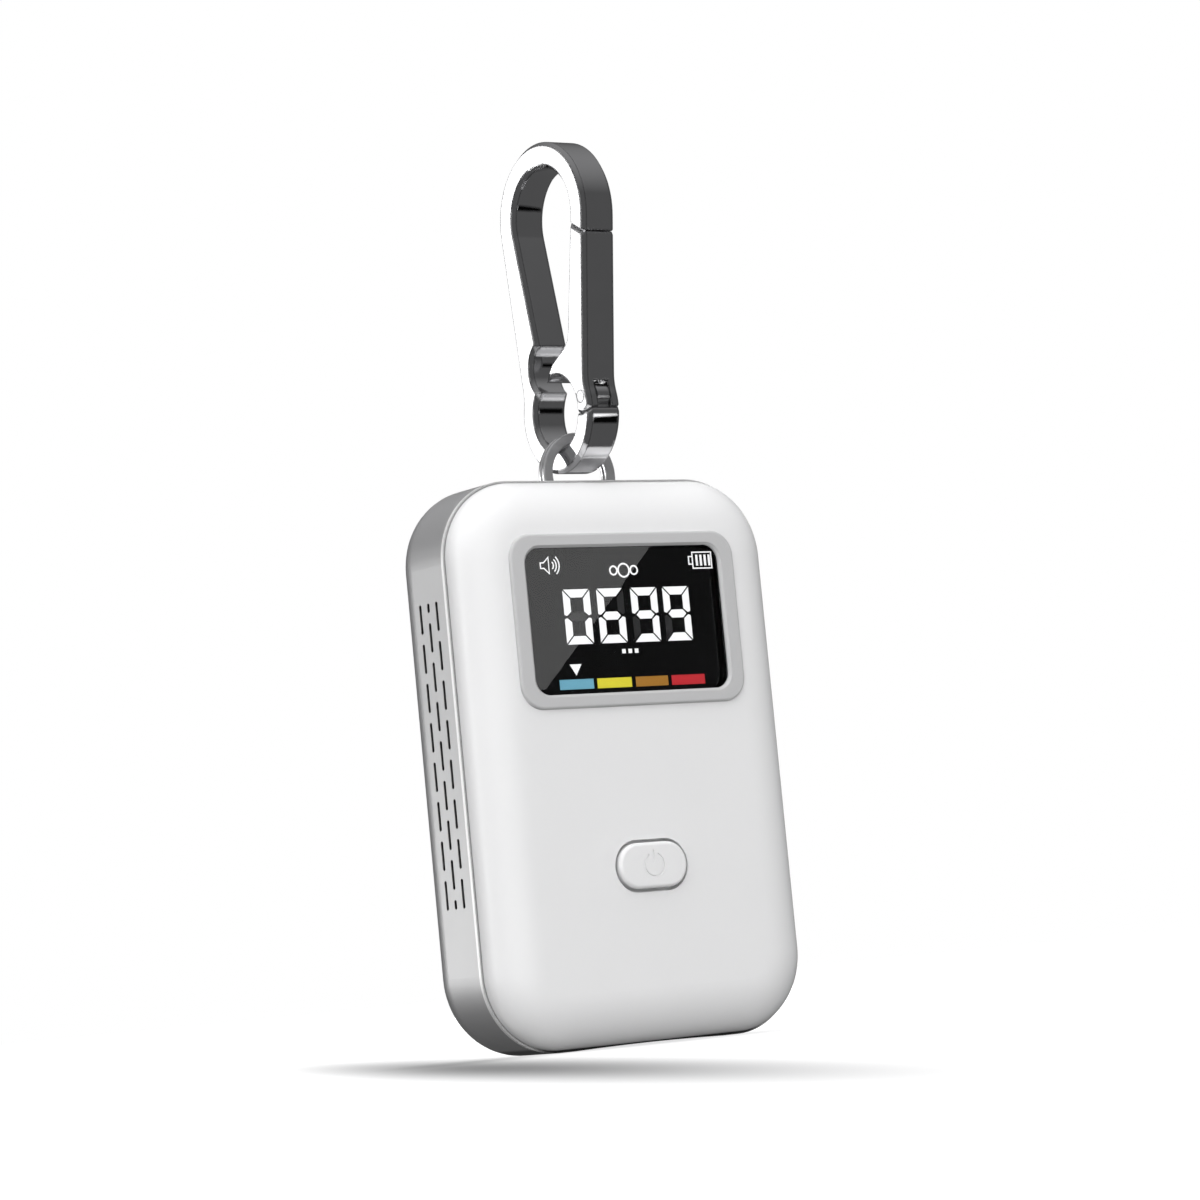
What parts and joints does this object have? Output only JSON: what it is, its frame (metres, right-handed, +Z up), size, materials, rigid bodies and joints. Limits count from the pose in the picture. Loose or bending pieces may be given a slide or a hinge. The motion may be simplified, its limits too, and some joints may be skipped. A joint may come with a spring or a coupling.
{
  "type": "pocket air quality monitor",
  "caption": "Pocket carbon dioxide meter: rounded case with a small display, a power key and side vents, hung from a split ring and a snap carabiner.",
  "frame": {"origin": "centre of the whole meter's footprint, on the flat bottom face the case stands on", "axes": "+Z up through the case and the upright carabiner, -Y towards the viewer of the display, +X to the viewer's right"},
  "size_m": [0.0446, 0.018, 0.1069],
  "materials": {
    "cover_white": "glossy",
    "housing_white": "satin",
    "bezel_grey": "satin metallic",
    "window_clear": "clear, dark tinted",
    "lcd_black": "black display glass",
    "light_guide": "milky",
    "holder_black": "matte",
    "flex_amber": "polyimide film",
    "button_white": "glossy",
    "switch_black": "matte",
    "plunger_red": "matte",
    "pcb_green": "solder mask",
    "chip_black": "moulded epoxy",
    "inductor_grey": "ferrite",
    "capacitor_tan": "ceramic",
    "can_steel": "drawn can",
    "membrane_white": "porous film",
    "foam_grey": "closed-cell foam",
    "pouch_silver": "laminated foil",
    "pad_white": "foam tape",
    "lead_red": "insulation",
    "lead_black": "insulation",
    "plug_white": "nylon",
    "buzzer_black": "moulded",
    "port_steel": "plated",
    "screen_mesh": "fine woven mesh",
    "screw_steel": "zinc plated",
    "insert_brass": "knurled",
    "ring_steel": "polished",
    "carabiner_chrome": "mirror polished",
    "spring_steel": "drawn wire"
  },
  "bodies": {
    "case": {"rear_housing": "housing_white", "front_cover": "cover_white", "display_bezel": "bezel_grey", "display_window": "window_clear", "lcd_panel": "lcd_black", "lcd_backlight": "light_guide", "lcd_holder": "holder_black", "lcd_flex": "flex_amber", "tact_switch": "switch_black", "main_pcb": "pcb_green", "mcu_chip": "chip_black", "charger_chip": "chip_black", "power_inductor": "inductor_grey", "chip_capacitors": "capacitor_tan", "co2_sensor_base": "pcb_green", "co2_sensor_can": "can_steel", "sensor_membrane": "membrane_white", "humidity_sensor": "chip_black", "chamber_foam": "foam_grey", "battery_cell": "pouch_silver", "battery_pad": "pad_white", "battery_lead_red": "lead_red", "battery_lead_black": "lead_black", "battery_plug": "plug_white", "battery_header": "plug_white", "buzzer": "buzzer_black", "usb_shell": "port_steel", "usb_insert": "switch_black", "dust_screen_left": "screen_mesh", "dust_screen_right": "screen_mesh", "case_screws": "screw_steel", "screw_inserts": "insert_brass"},
    "button": {"power_button": "button_white"},
    "plunger": {"switch_plunger": "plunger_red"},
    "ring": {"split_ring": "ring_steel"},
    "carabiner": {"carabiner_frame": "carabiner_chrome", "gate_pin": "spring_steel"},
    "gate": {"carabiner_gate": "carabiner_chrome", "gate_spring": "spring_steel"}
  },
  "joints": [
    {"name": "power_press", "type": "slide", "parent": "case", "child": "button", "axis": [0, 1, 0], "range_m": [0, 0.0004], "stiffness_N_per_m": 4000, "springref_m": -0.0001},
    {"name": "switch_press", "type": "slide", "parent": "case", "child": "plunger", "axis": [0, 1, 0], "range_m": [0, 0.0004]},
    {"name": "ring_spin", "type": "hinge", "parent": "case", "child": "ring", "pos_m": [0, 0.0007, 0.0671], "axis": [0, 1, 0], "range_deg": [-20, 20]},
    {"name": "carabiner_swing", "type": "hinge", "parent": "ring", "child": "carabiner", "pos_m": [0, 0.0007, 0.07155], "axis": [1, 0, 0], "range_deg": [-40, 40]},
    {"name": "gate_snap", "type": "hinge", "parent": "carabiner", "child": "gate", "pos_m": [0, -0.0048, 0.0757], "axis": [-1, 0, 0], "range_deg": [0, 30], "stiffness_Nm_per_rad": 0.02, "springref_deg": -22.92, "deforming": ["gate_spring"]}
  ],
  "couplings": [
    {"joint": "switch_press", "follows": "power_press", "ratio": 1}
  ]
}
